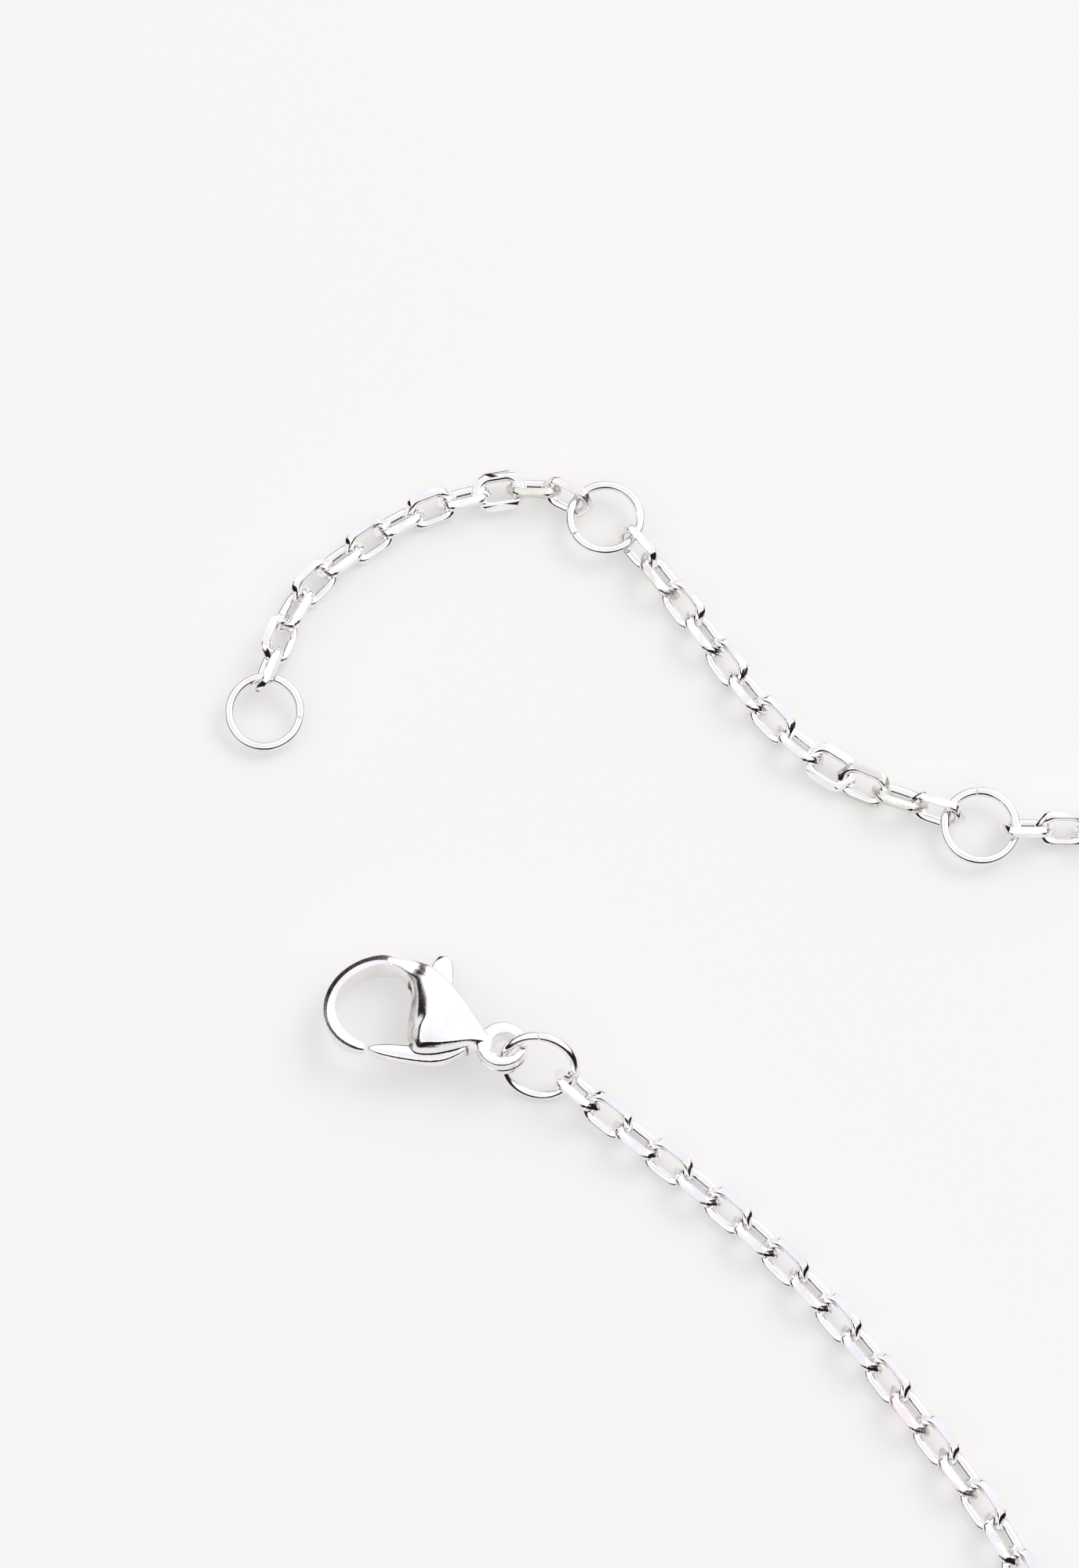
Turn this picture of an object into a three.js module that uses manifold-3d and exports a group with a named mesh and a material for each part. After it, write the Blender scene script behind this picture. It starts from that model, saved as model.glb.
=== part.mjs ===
// A silver-plated necklace that lies open on a table: a lobster clasp, a diamond-cut cable chain
// and an extender of two short chains between jump rings. Millimetres, Z up, table at Z = 0.
import * as THREE from "three";
import { mergeVertices } from "three/addons/utils/BufferGeometryUtils.js";
import Module from "manifold-3d";

const wasm = await Module();
wasm.setup();

// Driving sizes of the chain. Twelve links of the extender measure one inch.
const INCH = 25.4;
const EXTENDER_LINKS = 12;
const MAIN_LINKS = 182;
const MAIN_LINKS_BY_CLASP = 20;
const MAIN_LINKS_BY_FAR_RING = 6;
const LINK_PITCH = INCH / EXTENDER_LINKS;
const BAR_SPACING = 1.8;
const WIRE_IN = 0.21;
const WIRE_RIDGE = 0.28;
const WIRE_INNER_FLAT = 0.15;
const LINK_GRIP = 0.06;
const LINK_END_STEPS = 4;
const ROUTE_SAMPLES_PER_LINK = 40;
const CHAIN_MIDDLE = (BAR_SPACING / 2 + WIRE_RIDGE) * Math.SQRT1_2;

// The tube that stands for the hidden stretch has the chain's height, with a flat underneath.
const TUBE_SIDES = 8;
const LINKS_PER_TUBE_STEP = 2;
const TUBE_END_GAP = 0.8;

// Driving sizes of the jump rings.
const RING_RADIUS = 2.02;
const RING_WIRE = 0.25;
const RING_STEPS = 18;
const RING_SIDES = 6;
const RING_SEAM = 0.06;
const RING_TO_LINK = 0.22;
const HOOK_RADIUS = RING_RADIUS - RING_WIRE - RING_TO_LINK;

// Each jump ring: its middle, the way its level axis points, how far it lifts behind that axis,
// and the place of its seam round the ring. Angles are in degrees.
const RINGS = {
  end: { x: -15.6, y: 4.0, z: 0.95, axis: 0, lift: 10, seam: 350 },
  middle: { x: 3.8, y: 15.9, z: 1.16, axis: 0, lift: 1, seam: 211 },
  far: { x: 24.8, y: -2.9, z: 1.05, axis: 22, lift: 4, seam: 73 },
  clasp: { x: -0.02, y: -17.2, z: 1.88, axis: -10, lift: 54, seam: 95 },
};

// Where each chain hooks into a ring, as an angle round the ring.
const HOOKS = {
  outerAtEnd: { ring: RINGS.end, angle: 98 },
  outerAtMiddle: { ring: RINGS.middle, angle: 146 },
  innerAtMiddle: { ring: RINGS.middle, angle: -42 },
  innerAtFar: { ring: RINGS.far, angle: 137 },
  mainAtFar: { ring: RINGS.far, angle: -26 },
  mainAtClasp: { ring: RINGS.clasp, angle: -20 },
};

// How far each link leans round its own length: one side and the other in turn, with a link of
// each extender chain that has turned nearly flat.
const OUTER_LEANS = [-65, 45, -45, 45, -45, 45, -45, 45, -45, 10, -50, 64];
const INNER_LEANS = [64, -45, 45, -45, 45, -45, 45, -45, 5, 45, -45, 67];
const MAIN_LEANS = { first: -50, odd: -45, even: 45, last: 55 };

// A hook lifts the joints next to it by these shares of its own height over the chain's.
const HOOK_LIFTS = [1, 0.85, 0.3];

// The places that each chain passes on the table between its two rings.
const OUTER_ROUTE = [
  [-13.6, 11.2],
  [-10.4, 14.2],
  [-6.9, 16.4],
  [-3.0, 17.6],
  [0.3, 17.8],
];
const INNER_ROUTE = [
  [7.0, 12.3],
  [9.5, 8.8],
  [11.9, 5.2],
  [14.2, 2.5],
  [17.0, 0.3],
  [20.3, -1.2],
];
const MAIN_ROUTE = [
  [3.2, -19.4],
  [5.8, -21.4],
  [9.1, -24.1],
  [12.2, -26.9],
  [15.1, -29.9],
  [17.8, -33.2],
  [20.3, -36.6],
  [22.8, -40.0],
  [25.0, -43.6],
  [30.8, -57.0],
  [41.4, -74.4],
  [57.1, -91.2],
  [77.3, -103.5],
  [101.9, -108.6],
  [126.6, -103.5],
  [146.2, -89.0],
  [156.8, -67.7],
  [155.7, -45.3],
  [143.4, -26.8],
  [123.8, -14.5],
  [100.8, -7.8],
  [77.3, -4.2],
  [53.8, -2.3],
  [34.0, -3.0],
];

// Driving sizes of the clasp, in its own frame: X from the hook's middle to the eye, Y across.
const CLASP_MIDDLE = { x: -9.2, y: -13.8 };
const CLASP_HEADING = -18.4;
const CLASP_ROLL = -10;
const CLASP_DIP = -4;
const DOME_MIDDLE = { x: 3.4, y: 0.6 };
const SLOT_HALF = 0.6;
const SLOT_REACH = 5;
const HOOK_BEVEL = 0.45;
const LEVER_HALF = 0.47;
const LEVER_BEVEL = 0.15;
const EYE = { x: 7.58, y: -0.05, hole: 0.9, outer: 1.42, half: 0.62 };
const PIN = { x: 4.65, y: -0.67, radius: 0.35, half: 1.0 };
const PIN_GAP = 0.1;
const ROUND_STEPS = 16;
const EYE_SIDES = 8;
const BODY_CURVE_STEPS = 4;
const LEVER_CURVE_STEPS = 3;

const SILVER = { color: 0xeceaea, metalness: 1, roughness: 0.16 };
const BRIGHT_SILVER = { color: 0xf2f0f1, metalness: 1, roughness: 0.1 };
const STEEL = { color: 0xd6d6d8, metalness: 1, roughness: 0.25 };

const UP = new THREE.Vector3(0, 0, 1);

function radians(degrees) {
  return THREE.MathUtils.degToRad(degrees);
}

function solid(geometry) {
  const bare = geometry.clone();
  bare.deleteAttribute("normal");
  bare.deleteAttribute("uv");
  const merged = mergeVertices(bare, 1e-4);
  return new wasm.Manifold(
    new wasm.Mesh({
      numProp: 3,
      vertProperties: new Float32Array(merged.attributes.position.array),
      triVerts: new Uint32Array(merged.index.array),
    }),
  );
}

function geometryOf(body) {
  const mesh = body.getMesh();
  const geometry = new THREE.BufferGeometry();
  geometry.setAttribute("position", new THREE.BufferAttribute(mesh.vertProperties, 3));
  geometry.setIndex(new THREE.BufferAttribute(mesh.triVerts, 1));
  const flat = geometry.toNonIndexed();
  flat.computeVertexNormals();
  return flat;
}

function joined(bodies) {
  return bodies.reduce((whole, body) => whole.add(body));
}

function piece(name, geometry, finish) {
  const mesh = new THREE.Mesh(geometry, new THREE.MeshStandardMaterial(finish));
  mesh.name = name;
  return mesh;
}

function middleOf(points) {
  const sum = points.reduce((total, point) => total.add(point), new THREE.Vector3());
  return sum.divideScalar(points.length);
}

// A skin over rings of points that all have as many points and go round clockwise, seen from
// the end. A closed skin ends where it starts, and an open one gets a cap at each end, a fan
// round the middle of the ring there.
function loft(rings, closed) {
  const count = rings[0].length;
  const points = [...rings.flat(), middleOf(rings[0]), middleOf(rings.at(-1))];
  const positions = points.flatMap((point) => point.toArray());
  const index = [];
  const spans = closed ? rings.length : rings.length - 1;
  for (let i = 0; i < spans; i += 1) {
    const here = i * count;
    const there = ((i + 1) % rings.length) * count;
    for (let j = 0; j < count; j += 1) {
      const k = (j + 1) % count;
      index.push(here + j, there + k, here + k);
      index.push(here + j, there + j, there + k);
    }
  }
  if (!closed) {
    const last = (rings.length - 1) * count;
    const firstMiddle = rings.length * count;
    for (let j = 0; j < count; j += 1) {
      const k = (j + 1) % count;
      index.push(firstMiddle, j, k);
      index.push(firstMiddle + 1, last + k, last + j);
    }
  }
  const geometry = new THREE.BufferGeometry();
  geometry.setAttribute("position", new THREE.Float32BufferAttribute(positions, 3));
  geometry.setIndex(index);
  return geometry;
}

// One link round the origin, long way along X. The wire's outer side is cut to two flats.
function linkGeometry(pitch) {
  const endRadius = BAR_SPACING / 2;
  const hole = pitch - LINK_GRIP;
  const endShift = hole / 2 + WIRE_IN - endRadius;
  const section = [
    [WIRE_RIDGE, 0],
    [0, WIRE_RIDGE],
    [-WIRE_IN, WIRE_INNER_FLAT],
    [-WIRE_IN, -WIRE_INNER_FLAT],
    [0, -WIRE_RIDGE],
  ];
  const rings = [];
  for (const side of [1, -1]) {
    for (let i = 0; i <= LINK_END_STEPS; i += 1) {
      const angle = (i / LINK_END_STEPS - side / 2) * Math.PI;
      rings.push(
        section.map(([out, up]) => {
          const reach = endRadius + out;
          const x = side * endShift + reach * Math.cos(angle);
          return new THREE.Vector3(x, reach * Math.sin(angle), up);
        }),
      );
    }
  }
  return loft(rings, true);
}

// Puts a link between two joints of its chain, leaning over by an angle round its own length.
function placeLink(geometry, from, to, lean) {
  const along = to.clone().sub(from).normalize();
  const across = UP.clone().cross(along).normalize();
  const over = along.clone().cross(across);
  const wide = across.multiplyScalar(Math.cos(lean)).addScaledVector(over, Math.sin(lean));
  const face = along.clone().cross(wide);
  const place = new THREE.Matrix4().makeBasis(along, wide, face);
  place.setPosition(from.clone().add(to).multiplyScalar(0.5));
  return geometry.clone().applyMatrix4(place);
}

function chainGeometry(joints, leans) {
  const link = linkGeometry(joints[0].distanceTo(joints[1]));
  const links = leans.map((lean, i) => {
    return solid(placeLink(link, joints[i], joints[i + 1], radians(lean)));
  });
  return geometryOf(joined(links));
}

function ringPoint(ring, angle, radius) {
  const axis = radians(ring.axis);
  const lift = radians(ring.lift);
  const turn = radians(angle);
  const along = new THREE.Vector3(Math.cos(axis), Math.sin(axis), 0);
  const back = new THREE.Vector3(-Math.sin(axis), Math.cos(axis), 0);
  back.multiplyScalar(Math.cos(lift)).addScaledVector(UP, Math.sin(lift));
  return new THREE.Vector3(ring.x, ring.y, ring.z)
    .addScaledVector(along, radius * Math.cos(turn))
    .addScaledVector(back, radius * Math.sin(turn));
}

// A round wire bent to a ring whose ends meet at a fine seam.
function jumpRing(name, ring) {
  const halfSeam = RING_SEAM / 2 / RING_RADIUS;
  const start = radians(ring.seam) + halfSeam;
  const sweep = 2 * (Math.PI - halfSeam);
  const middle = new THREE.Vector3(ring.x, ring.y, ring.z);
  const face = ringPoint(ring, 0, 1).sub(middle).cross(ringPoint(ring, 90, 1).sub(middle));
  const rings = [];
  for (let i = 0; i <= RING_STEPS; i += 1) {
    const angle = THREE.MathUtils.radToDeg(start + (sweep * i) / RING_STEPS);
    const section = [];
    for (let j = 0; j < RING_SIDES; j += 1) {
      const turn = ((j + 0.5) / RING_SIDES) * 2 * Math.PI;
      const reach = RING_RADIUS + RING_WIRE * Math.cos(turn);
      const point = ringPoint(ring, angle, reach);
      section.push(point.addScaledVector(face, RING_WIRE * Math.sin(turn)));
    }
    rings.push(section);
  }
  return piece(name, geometryOf(solid(loft(rings, false))), BRIGHT_SILVER);
}

// A route's joints: equal steps along a smooth curve from one ring, past the places, to another.
function jointsAlong(first, places, last, links) {
  const start = ringPoint(first.ring, first.angle, HOOK_RADIUS);
  const end = ringPoint(last.ring, last.angle, HOOK_RADIUS);
  const plan = [[start.x, start.y], ...places, [end.x, end.y]];
  const points = plan.map(([x, y]) => new THREE.Vector3(x, y, CHAIN_MIDDLE));
  const curve = new THREE.CatmullRomCurve3(points);
  curve.arcLengthDivisions = ROUTE_SAMPLES_PER_LINK * links;
  const joints = curve.getSpacedPoints(links);
  HOOK_LIFTS.forEach((share, i) => {
    joints[i].z += share * (start.z - CHAIN_MIDDLE);
    joints[links - i].z += share * (end.z - CHAIN_MIDDLE);
  });
  return joints;
}

function hiddenTube(name, joints) {
  const corners = [];
  const corner = CHAIN_MIDDLE / Math.cos(Math.PI / TUBE_SIDES);
  for (let i = 0; i < TUBE_SIDES; i += 1) {
    const angle = ((i + 0.5) / TUBE_SIDES) * 2 * Math.PI;
    corners.push(new THREE.Vector2(corner * Math.cos(angle), corner * Math.sin(angle)));
  }
  const steps = (joints.length - 1) / LINKS_PER_TUBE_STEP;
  const points = joints.filter((joint, i) => i % LINKS_PER_TUBE_STEP === 0);
  points.forEach((point) => point.setZ(CHAIN_MIDDLE));
  const inset = TUBE_END_GAP / (LINKS_PER_TUBE_STEP * LINK_PITCH);
  points[0] = points[0].clone().lerp(points[1], inset);
  points[steps] = points[steps].clone().lerp(points[steps - 1], inset);
  const extrudePath = new THREE.CatmullRomCurve3(points);
  const tube = new THREE.ExtrudeGeometry(new THREE.Shape(corners), { steps, extrudePath });
  return piece(name, geometryOf(solid(tube)), SILVER);
}

// A flat outline pulled through the thickness of the clasp, with its rims cut at a bevel.
function plate(outline, half, bevel) {
  const geometry = new THREE.ExtrudeGeometry(outline, {
    depth: 2 * (half - bevel),
    bevelEnabled: bevel > 0,
    bevelThickness: bevel,
    bevelSize: bevel,
    bevelOffset: -bevel,
    bevelSegments: 1,
    curveSegments: LEVER_CURVE_STEPS,
  });
  return solid(geometry.translate(0, 0, bevel - half));
}

function cylinder(spot, radius, half) {
  const geometry = new THREE.CylinderGeometry(radius, radius, 2 * half, ROUND_STEPS);
  return solid(geometry.rotateX(Math.PI / 2).translate(spot.x, spot.y, 0));
}

function bodyOutline() {
  const outline = new THREE.Shape();
  outline.moveTo(-0.3, 3.06);
  outline.lineTo(-0.3, 2.42);
  outline.quadraticCurveTo(0.7, 2.5, 1.1, 2.05);
  outline.quadraticCurveTo(2.0, 0.7, 2.35, -1.0);
  outline.quadraticCurveTo(2.4, -1.9, 3.1, -1.97);
  outline.quadraticCurveTo(4.9, -1.75, 5.9, -0.6);
  outline.lineTo(6.55, -0.75);
  outline.lineTo(6.55, 0.7);
  outline.lineTo(6.1, 0.7);
  outline.quadraticCurveTo(3.9, 2.75, 2.3, 3.1);
  outline.quadraticCurveTo(0.9, 3.5, -0.3, 3.06);
  return outline;
}

// The room that the lever turns in. It is open to the hook, below and above.
function slotOutline() {
  const outline = new THREE.Shape();
  outline.moveTo(1.9, SLOT_REACH);
  outline.lineTo(1.9, 2.55);
  outline.lineTo(1.0, 1.5);
  outline.lineTo(1.0, -SLOT_REACH);
  outline.lineTo(6.05, -SLOT_REACH);
  outline.lineTo(6.05, -0.5);
  outline.lineTo(5.7, 0.6);
  outline.lineTo(5.7, SLOT_REACH);
  return outline;
}

// The hook's bar: angle round the hook's middle, radius of its centre line, half width and
// half height.
const HOOK_SECTIONS = [
  { angle: 74, radius: 2.8, width: 0.3, height: 0.8 },
  { angle: 96, radius: 2.76, width: 0.33, height: 0.85 },
  { angle: 118, radius: 2.5, width: 0.33, height: 0.82 },
  { angle: 140, radius: 2.36, width: 0.31, height: 0.78 },
  { angle: 162, radius: 2.33, width: 0.3, height: 0.74 },
  { angle: 184, radius: 2.36, width: 0.3, height: 0.7 },
  { angle: 206, radius: 2.42, width: 0.34, height: 0.66 },
  { angle: 228, radius: 2.46, width: 0.38, height: 0.62 },
  { angle: 250, radius: 2.48, width: 0.4, height: 0.58 },
  { angle: 270, radius: 2.47, width: 0.36, height: 0.52 },
  { angle: 281, radius: 2.47, width: 0.22, height: 0.4 },
];

function hook() {
  const corners = [
    [1, -HOOK_BEVEL],
    [1, HOOK_BEVEL],
    [HOOK_BEVEL, 1],
    [-HOOK_BEVEL, 1],
    [-1, HOOK_BEVEL],
    [-1, -HOOK_BEVEL],
    [-HOOK_BEVEL, -1],
    [HOOK_BEVEL, -1],
  ];
  const rings = HOOK_SECTIONS.map(({ angle, radius, width, height }) => {
    const turn = radians(angle);
    return corners.map(([out, up]) => {
      const reach = radius + out * width;
      const y = reach * Math.sin(turn);
      return new THREE.Vector3(reach * Math.cos(turn), y, up * height);
    });
  });
  return solid(loft(rings, false));
}

function eye() {
  const middle = (EYE.hole + EYE.outer) / 2;
  const width = (EYE.outer - EYE.hole) / 2;
  const stretch = 1 / Math.cos(Math.PI / EYE_SIDES);
  const profile = [];
  for (let i = 0; i <= EYE_SIDES; i += 1) {
    const angle = ((i + 0.5) / EYE_SIDES) * 2 * Math.PI;
    const x = middle + width * stretch * Math.cos(angle);
    profile.push(new THREE.Vector2(x, EYE.half * stretch * Math.sin(angle)));
  }
  const geometry = new THREE.LatheGeometry(profile, ROUND_STEPS);
  return solid(geometry.rotateX(Math.PI / 2).translate(EYE.x, EYE.y, 0));
}

// The cast shell: its outline drawn in towards its middle as it rises to a dome on either side.
const DOME_LEVELS = [
  { height: 0.62, scale: 1 },
  { height: 0.92, scale: 0.97 },
  { height: 1.15, scale: 0.88 },
  { height: 1.3, scale: 0.68 },
  { height: 1.35, scale: 0.36 },
];

function shell() {
  const outline = bodyOutline().getPoints(BODY_CURVE_STEPS).slice(1).reverse();
  const back = DOME_LEVELS.map(({ height, scale }) => ({ height: -height, scale })).reverse();
  const rings = [...back, ...DOME_LEVELS].map(({ height, scale }) =>
    outline.map((point) => {
      const x = DOME_MIDDLE.x + (point.x - DOME_MIDDLE.x) * scale;
      const y = DOME_MIDDLE.y + (point.y - DOME_MIDDLE.y) * scale;
      return new THREE.Vector3(x, y, height);
    }),
  );
  return solid(loft(rings, false));
}

function claspBody() {
  const slot = plate(slotOutline(), SLOT_HALF, 0);
  const bore = cylinder(PIN, PIN.radius + PIN_GAP, PIN.half + PIN_GAP);
  const body = joined([shell(), hook(), eye()]).subtract(slot).subtract(bore);
  return piece("clasp_body", geometryOf(body), BRIGHT_SILVER);
}

// The lever: a pointed gate that closes the hook, and a tab for the thumb.
function leverOutline() {
  const outline = new THREE.Shape();
  outline.moveTo(0.8, -2.33);
  outline.quadraticCurveTo(1.1, -2.65, 2.3, -2.55);
  outline.quadraticCurveTo(4.9, -2.35, 5.45, -1.55);
  outline.quadraticCurveTo(5.95, -0.9, 5.2, 0.1);
  outline.lineTo(4.1, 2.0);
  outline.lineTo(3.62, 3.3);
  outline.quadraticCurveTo(3.35, 4.3, 2.8, 4.3);
  outline.quadraticCurveTo(2.15, 4.2, 2.17, 3.3);
  outline.lineTo(3.2, 0.6);
  outline.quadraticCurveTo(3.6, -1.2, 2.4, -1.42);
  outline.quadraticCurveTo(1.4, -1.6, 0.8, -2.02);
  return outline;
}

function claspLever() {
  const arm = plate(leverOutline(), LEVER_HALF, LEVER_BEVEL);
  const bore = cylinder(PIN, PIN.radius + PIN_GAP, PIN.half);
  return piece("clasp_lever", geometryOf(arm.subtract(bore)), BRIGHT_SILVER);
}

// The clasp lies on its back, rolled a little to the side, and touches the table.
function clasp() {
  const pin = piece("clasp_pin", geometryOf(cylinder(PIN, PIN.radius, PIN.half)), STEEL);
  const group = new THREE.Group();
  group.add(claspBody(), claspLever(), pin);
  group.rotation.set(radians(CLASP_ROLL), radians(CLASP_DIP), radians(CLASP_HEADING), "ZYX");
  group.position.set(CLASP_MIDDLE.x, CLASP_MIDDLE.y, 0);
  group.updateMatrixWorld(true);
  group.position.z = -new THREE.Box3().setFromObject(group, true).min.z;
  return group;
}

function extender() {
  const { outerAtEnd, outerAtMiddle, innerAtMiddle, innerAtFar } = HOOKS;
  const outer = jointsAlong(outerAtEnd, OUTER_ROUTE, outerAtMiddle, EXTENDER_LINKS);
  const inner = jointsAlong(innerAtMiddle, INNER_ROUTE, innerAtFar, EXTENDER_LINKS);
  const group = new THREE.Group();
  group.add(piece("extender_chain_outer", chainGeometry(outer, OUTER_LEANS), SILVER));
  group.add(piece("extender_chain_inner", chainGeometry(inner, INNER_LEANS), SILVER));
  return group;
}

function mainLeans() {
  const { first, odd, even, last } = MAIN_LEANS;
  const leans = Array.from({ length: MAIN_LINKS }, (_, i) => (i % 2 ? even : odd));
  return leans.with(0, first).with(-1, last);
}

function mainChain() {
  const joints = jointsAlong(HOOKS.mainAtClasp, MAIN_ROUTE, HOOKS.mainAtFar, MAIN_LINKS);
  const leans = mainLeans();
  const nearEnd = MAIN_LINKS_BY_CLASP;
  const farStart = MAIN_LINKS - MAIN_LINKS_BY_FAR_RING;
  const near = chainGeometry(joints.slice(0, nearEnd + 1), leans.slice(0, nearEnd));
  const far = chainGeometry(joints.slice(farStart), leans.slice(farStart));
  const group = new THREE.Group();
  group.add(piece("main_chain_clasp_side", near, SILVER));
  group.add(hiddenTube("main_chain_hidden", joints.slice(nearEnd, farStart + 1)));
  group.add(piece("main_chain_far_side", far, SILVER));
  return group;
}

const necklace = new THREE.Group();
necklace.add(clasp());
necklace.add(jumpRing("jump_ring_clasp", RINGS.clasp));
necklace.add(mainChain());
necklace.add(jumpRing("jump_ring_far", RINGS.far));
necklace.add(extender());
necklace.add(jumpRing("jump_ring_middle", RINGS.middle));
necklace.add(jumpRing("jump_ring_end", RINGS.end));

// The origin is on the table, under the middle of the whole necklace's box.
const whole = new THREE.Box3().setFromObject(necklace, true);
const centre = whole.getCenter(new THREE.Vector3());
necklace.position.set(-centre.x, -centre.y, -whole.min.z);

export default necklace;
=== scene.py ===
import math

import bmesh
import bpy
import numpy as np
from mathutils import Matrix, Vector

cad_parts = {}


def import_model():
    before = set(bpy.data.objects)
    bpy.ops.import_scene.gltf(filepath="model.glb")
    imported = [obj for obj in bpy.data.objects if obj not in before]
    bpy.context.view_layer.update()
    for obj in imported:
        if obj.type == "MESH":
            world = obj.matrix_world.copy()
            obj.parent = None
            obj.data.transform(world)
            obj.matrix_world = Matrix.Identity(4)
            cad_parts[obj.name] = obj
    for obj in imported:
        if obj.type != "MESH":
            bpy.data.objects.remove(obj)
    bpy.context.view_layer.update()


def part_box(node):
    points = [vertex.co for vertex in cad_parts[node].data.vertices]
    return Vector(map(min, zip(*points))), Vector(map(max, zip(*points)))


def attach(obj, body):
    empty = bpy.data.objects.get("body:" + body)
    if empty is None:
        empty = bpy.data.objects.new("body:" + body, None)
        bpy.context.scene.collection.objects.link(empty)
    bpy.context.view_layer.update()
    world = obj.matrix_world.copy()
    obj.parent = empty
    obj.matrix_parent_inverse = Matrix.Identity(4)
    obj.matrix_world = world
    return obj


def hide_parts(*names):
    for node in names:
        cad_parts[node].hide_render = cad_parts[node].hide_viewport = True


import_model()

MM = 0.001
UP = Vector((0, 0, 1))

# The chain's links and the height of its middle over the table, as in the part's source.
EXTENDER_LINKS = 12
MAIN_LINKS = 182
MAIN_LINKS_BY_CLASP = 20
MAIN_LINKS_BY_FAR_RING = 6
CHAIN_MIDDLE = 0.834
ROUTE_SAMPLES_PER_LINK = 40

# A link is a round wire bent to an oval, a little thicker than in the source. Four flats are
# cut along its two bars, and eight short facets where the bars turn into the ends. A cut's
# direction points from the link's middle, and its depth is how far out the plane lies. The
# grip is how far two hooked wires press into each other.
WIRE = 0.315
BAR_HALF_SPACING = 0.835
BAR_STRAIGHT = 0.45
LINK_GRIP = 0.04
BAR_CUT_DEPTH = 0.8
END_CUT = {"along": 0.73, "side": 0.48, "depth": 1.29}
CUT_TOLERANCE = 1e-6

# The faces round the wire, round each end and along each bar. The links outside the photo
# have fewer.
NEAR_LINK = {"round": 24, "end": 14, "bar": 6}
FAR_LINK = {"round": 14, "end": 9, "bar": 2}

# The jump rings. The wire's two cut ends have a small chamfer and meet at a fine seam. The
# joint of a chain lies inside the ring, at the hook radius.
RING_RADIUS = 2.02
RING_WIRE = 0.275
RING_SEAM = 0.05
RING_CHAMFER = 0.03
RING_STEPS = 144
RING_SIDES = 28
RING_TO_LINK = 0.195
HOOK_RADIUS = RING_RADIUS - RING_WIRE - RING_TO_LINK

# Each ring's middle, the heading of the level line through it, its lift round that line and
# the place of its seam.
RINGS = {
    "end": {"x": -15.6, "y": 4.0, "z": 0.95, "axis": 0, "lift": 10, "seam": 350},
    "middle": {"x": 3.8, "y": 15.9, "z": 1.16, "axis": 0, "lift": 1, "seam": 211},
    "far": {"x": 24.8, "y": -2.9, "z": 1.05, "axis": 22, "lift": 4, "seam": 73},
    "clasp": {"x": -0.02, "y": -17.2, "z": 1.88, "axis": -10, "lift": 54, "seam": 95},
}

# Where each chain hooks into a ring: the ring and the angle round it.
HOOKS = {
    "outer_at_end": ("end", 98),
    "outer_at_middle": ("middle", 146),
    "inner_at_middle": ("middle", -42),
    "inner_at_far": ("far", 137),
    "main_at_far": ("far", -26),
    "main_at_clasp": ("clasp", -20),
}

# How much of the way to its ring's height each joint rises, from the ring inwards.
HOOK_LIFTS = [1, 0.85, 0.3]

# How far each link leans about the line of the chain. A small lean is a link that lies flat.
OUTER_LEANS = [-65, 45, -45, 45, -45, 45, -45, 45, -45, 14, -50, 64]
INNER_LEANS = [64, -45, 45, -45, 45, -45, 45, -45, 14, 45, -45, 67]
MAIN_LEANS = {"first": -50, "odd": -45, "even": 45, "last": 55}

# The chain's materials, and the links whose flats have another one, by their numbers. The pink
# flats are a painted reflection of skin, and the grey flats are darker and duller.
CHAIN_FINISHES = ["silver_wire", "silver_flats", "silver_flats_painted_pink_reflection", "silver_flats_grey"]
FLATS = 1
PAINTED_PINK_REFLECTION_FLATS = 2
GREY_FLATS = 3
OFF_TONE_LINKS = {
    "extender_outer_links": {10: GREY_FLATS, 11: PAINTED_PINK_REFLECTION_FLATS},
    "extender_inner_links": {1: GREY_FLATS, 9: GREY_FLATS, 10: GREY_FLATS},
    "clasp_side_links": {12: PAINTED_PINK_REFLECTION_FLATS, 14: PAINTED_PINK_REFLECTION_FLATS, 18: PAINTED_PINK_REFLECTION_FLATS},
}

# The places that each chain passes, as in the part's source.
OUTER_ROUTE = [(-13.6, 11.2), (-10.4, 14.2), (-6.9, 16.4), (-3.0, 17.6), (0.3, 17.8)]
INNER_ROUTE = [(7.0, 12.3), (9.5, 8.8), (11.9, 5.2), (14.2, 2.5), (17.0, 0.3), (20.3, -1.2)]
MAIN_ROUTE = [
    (3.2, -19.4),
    (5.8, -21.4),
    (9.1, -24.1),
    (12.2, -26.9),
    (15.1, -29.9),
    (17.8, -33.2),
    (20.3, -36.6),
    (22.8, -40.0),
    (25.0, -43.6),
    (30.8, -57.0),
    (41.4, -74.4),
    (57.1, -91.2),
    (77.3, -103.5),
    (101.9, -108.6),
    (126.6, -103.5),
    (146.2, -89.0),
    (156.8, -67.7),
    (155.7, -45.3),
    (143.4, -26.8),
    (123.8, -14.5),
    (100.8, -7.8),
    (77.3, -4.2),
    (53.8, -2.3),
    (34.0, -3.0),
]

# The clasp, in its own frame: X from the hook's middle to the eye, Y across.
CLASP_MIDDLE = (-9.2, -13.8)
CLASP_HEADING = -18.4
CLASP_ROLL = -10
CLASP_DIP = -4
PIN = {"x": 4.65, "y": -0.67, "radius": 0.35, "half": 0.76}
PIN_GAP = 0.1
EYE = {"x": 7.58, "y": -0.05, "outer": 1.42, "half": 0.62, "hole": 0.72, "hole_shift": 0.18}
SLOT_HALF = 0.6
LEVER_HALF = 0.47

# The camera: its lens and place give the photo's scale, 22.5 pixels to a millimetre. What it
# sees lies between the two clip distances, in metres.
LENS = 105.3
SENSOR = 36.0
CAMERA_ELEVATION = 70
CAMERA_DISTANCE = 260
CLIP_START = 0.01
CLIP_END = 10


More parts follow.
